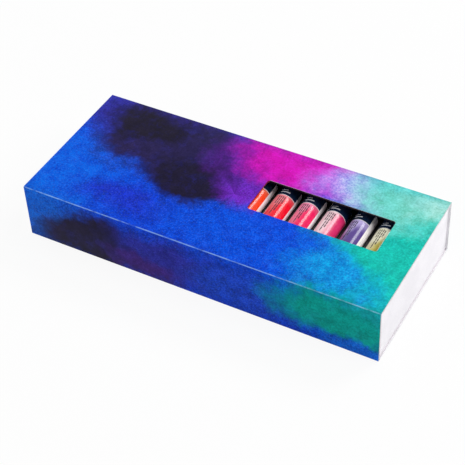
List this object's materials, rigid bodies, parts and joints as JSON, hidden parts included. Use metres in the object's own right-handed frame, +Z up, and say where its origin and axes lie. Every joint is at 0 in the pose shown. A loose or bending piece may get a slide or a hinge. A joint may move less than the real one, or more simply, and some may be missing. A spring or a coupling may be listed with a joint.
{
  "type": "paint tube set",
  "caption": "Book-style card box with a window in its hinged lid, a fold-down front flap, and metal paint tubes with screw caps lying in two formed holders",
  "frame": {"origin": "middle of the underside of the closed box", "axes": "+X along the box to the end by the window, +Y to the back where the lid hinges, +Z up"},
  "size_m": [0.28, 0.12, 0.046],
  "materials": {
    "printed_board": "satin",
    "white_board": "matte",
    "holder_plastic": "satin",
    "cap_plastic": "satin",
    "magnet": "satin",
    "paint": "satin",
    "label_purple": "satin",
    "label_indigo": "satin",
    "label_blue": "satin",
    "label_azure": "satin",
    "label_turquoise": "satin",
    "label_emerald": "satin",
    "label_green": "satin",
    "label_moss": "satin",
    "label_sienna": "satin",
    "label_umber": "satin",
    "label_grey": "satin",
    "label_black": "satin",
    "label_white": "satin",
    "label_lemon": "satin",
    "label_yellow": "satin",
    "label_gold": "satin",
    "label_ochre": "satin",
    "label_peach": "satin",
    "label_orange": "satin",
    "label_red": "satin",
    "label_crimson": "satin",
    "label_rose": "satin",
    "label_violet": "satin",
    "label_olive": "satin"
  },
  "bodies": {
    "box": {"spine_board": "printed_board", "base_board": "printed_board", "front_wall": "white_board", "back_wall": "white_board", "end_walls": "white_board", "lower_insert": "holder_plastic", "upper_insert": "holder_plastic", "wall_magnets": "magnet", "paint_fills": "paint", "tube_purple": "label_purple", "tube_indigo": "label_indigo", "tube_blue": "label_blue", "tube_azure": "label_azure", "tube_turquoise": "label_turquoise", "tube_emerald": "label_emerald", "tube_green": "label_green", "tube_moss": "label_moss", "tube_sienna": "label_sienna", "tube_umber": "label_umber", "tube_grey": "label_grey", "tube_black": "label_black", "tube_white": "label_white", "tube_lemon": "label_lemon", "tube_yellow": "label_yellow", "tube_gold": "label_gold", "tube_ochre": "label_ochre", "tube_peach": "label_peach", "tube_orange": "label_orange", "tube_red": "label_red", "tube_crimson": "label_crimson", "tube_rose": "label_rose", "tube_violet": "label_violet", "tube_olive": "label_olive"},
    "lid": {"lid_board": "printed_board"},
    "flap": {"flap_board": "printed_board", "flap_magnets": "magnet"},
    "cap_purple": {"cap_purple": "cap_plastic"},
    "cap_indigo": {"cap_indigo": "cap_plastic"},
    "cap_blue": {"cap_blue": "cap_plastic"},
    "cap_azure": {"cap_azure": "cap_plastic"},
    "cap_turquoise": {"cap_turquoise": "cap_plastic"},
    "cap_emerald": {"cap_emerald": "cap_plastic"},
    "cap_green": {"cap_green": "cap_plastic"},
    "cap_moss": {"cap_moss": "cap_plastic"},
    "cap_sienna": {"cap_sienna": "cap_plastic"},
    "cap_umber": {"cap_umber": "cap_plastic"},
    "cap_grey": {"cap_grey": "cap_plastic"},
    "cap_black": {"cap_black": "cap_plastic"},
    "cap_white": {"cap_white": "cap_plastic"},
    "cap_lemon": {"cap_lemon": "cap_plastic"},
    "cap_yellow": {"cap_yellow": "cap_plastic"},
    "cap_gold": {"cap_gold": "cap_plastic"},
    "cap_ochre": {"cap_ochre": "cap_plastic"},
    "cap_peach": {"cap_peach": "cap_plastic"},
    "cap_orange": {"cap_orange": "cap_plastic"},
    "cap_red": {"cap_red": "cap_plastic"},
    "cap_crimson": {"cap_crimson": "cap_plastic"},
    "cap_rose": {"cap_rose": "cap_plastic"},
    "cap_violet": {"cap_violet": "cap_plastic"},
    "cap_olive": {"cap_olive": "cap_plastic"}
  },
  "joints": [
    {"name": "lid_hinge", "type": "hinge", "parent": "box", "child": "lid", "pos_m": [0, 0.06, 0.046], "axis": [-1, 0, 0], "range_deg": [0, 175]},
    {"name": "flap_hinge", "type": "hinge", "parent": "lid", "child": "flap", "pos_m": [0, -0.06, 0.046], "axis": [-1, 0, 0], "range_deg": [0, 90]},
    {"name": "cap_purple_turn", "type": "hinge", "parent": "box", "child": "cap_purple", "pos_m": [-0.1089, 0.0393, 0.0103], "axis": [0, 1, 0], "range_deg": [0, 900]},
    {"name": "cap_indigo_turn", "type": "hinge", "parent": "box", "child": "cap_indigo", "pos_m": [-0.0891, 0.0393, 0.0103], "axis": [0, 1, 0], "range_deg": [0, 900]},
    {"name": "cap_blue_turn", "type": "hinge", "parent": "box", "child": "cap_blue", "pos_m": [-0.0693, 0.0393, 0.0103], "axis": [0, 1, 0], "range_deg": [0, 900]},
    {"name": "cap_azure_turn", "type": "hinge", "parent": "box", "child": "cap_azure", "pos_m": [-0.0495, 0.0393, 0.0103], "axis": [0, 1, 0], "range_deg": [0, 900]},
    {"name": "cap_turquoise_turn", "type": "hinge", "parent": "box", "child": "cap_turquoise", "pos_m": [-0.0297, 0.0393, 0.0103], "axis": [0, 1, 0], "range_deg": [0, 900]},
    {"name": "cap_emerald_turn", "type": "hinge", "parent": "box", "child": "cap_emerald", "pos_m": [-0.0099, 0.0393, 0.0103], "axis": [0, 1, 0], "range_deg": [0, 900]},
    {"name": "cap_green_turn", "type": "hinge", "parent": "box", "child": "cap_green", "pos_m": [0.0099, 0.0393, 0.0103], "axis": [0, 1, 0], "range_deg": [0, 900]},
    {"name": "cap_moss_turn", "type": "hinge", "parent": "box", "child": "cap_moss", "pos_m": [0.0297, 0.0393, 0.0103], "axis": [0, 1, 0], "range_deg": [0, 900]},
    {"name": "cap_sienna_turn", "type": "hinge", "parent": "box", "child": "cap_sienna", "pos_m": [0.0495, 0.0393, 0.0103], "axis": [0, 1, 0], "range_deg": [0, 900]},
    {"name": "cap_umber_turn", "type": "hinge", "parent": "box", "child": "cap_umber", "pos_m": [0.0693, 0.0393, 0.0103], "axis": [0, 1, 0], "range_deg": [0, 900]},
    {"name": "cap_grey_turn", "type": "hinge", "parent": "box", "child": "cap_grey", "pos_m": [0.0891, 0.0393, 0.0103], "axis": [0, 1, 0], "range_deg": [0, 900]},
    {"name": "cap_black_turn", "type": "hinge", "parent": "box", "child": "cap_black", "pos_m": [0.1089, 0.0393, 0.0103], "axis": [0, 1, 0], "range_deg": [0, 900]},
    {"name": "cap_white_turn", "type": "hinge", "parent": "box", "child": "cap_white", "pos_m": [-0.1089, 0.0393, 0.033], "axis": [0, 1, 0], "range_deg": [0, 900]},
    {"name": "cap_lemon_turn", "type": "hinge", "parent": "box", "child": "cap_lemon", "pos_m": [-0.0891, 0.0393, 0.033], "axis": [0, 1, 0], "range_deg": [0, 900]},
    {"name": "cap_yellow_turn", "type": "hinge", "parent": "box", "child": "cap_yellow", "pos_m": [-0.0693, 0.0393, 0.033], "axis": [0, 1, 0], "range_deg": [0, 900]},
    {"name": "cap_gold_turn", "type": "hinge", "parent": "box", "child": "cap_gold", "pos_m": [-0.0495, 0.0393, 0.033], "axis": [0, 1, 0], "range_deg": [0, 900]},
    {"name": "cap_ochre_turn", "type": "hinge", "parent": "box", "child": "cap_ochre", "pos_m": [-0.0297, 0.0393, 0.033], "axis": [0, 1, 0], "range_deg": [0, 900]},
    {"name": "cap_peach_turn", "type": "hinge", "parent": "box", "child": "cap_peach", "pos_m": [-0.0099, 0.0393, 0.033], "axis": [0, 1, 0], "range_deg": [0, 900]},
    {"name": "cap_orange_turn", "type": "hinge", "parent": "box", "child": "cap_orange", "pos_m": [0.0099, 0.0393, 0.033], "axis": [0, 1, 0], "range_deg": [0, 900]},
    {"name": "cap_red_turn", "type": "hinge", "parent": "box", "child": "cap_red", "pos_m": [0.0297, 0.0393, 0.033], "axis": [0, 1, 0], "range_deg": [0, 900]},
    {"name": "cap_crimson_turn", "type": "hinge", "parent": "box", "child": "cap_crimson", "pos_m": [0.0495, 0.0393, 0.033], "axis": [0, 1, 0], "range_deg": [0, 900]},
    {"name": "cap_rose_turn", "type": "hinge", "parent": "box", "child": "cap_rose", "pos_m": [0.0693, 0.0393, 0.033], "axis": [0, 1, 0], "range_deg": [0, 900]},
    {"name": "cap_violet_turn", "type": "hinge", "parent": "box", "child": "cap_violet", "pos_m": [0.0891, 0.0393, 0.033], "axis": [0, 1, 0], "range_deg": [0, 900]},
    {"name": "cap_olive_turn", "type": "hinge", "parent": "box", "child": "cap_olive", "pos_m": [0.1089, 0.0393, 0.033], "axis": [0, 1, 0], "range_deg": [0, 900]}
  ]
}
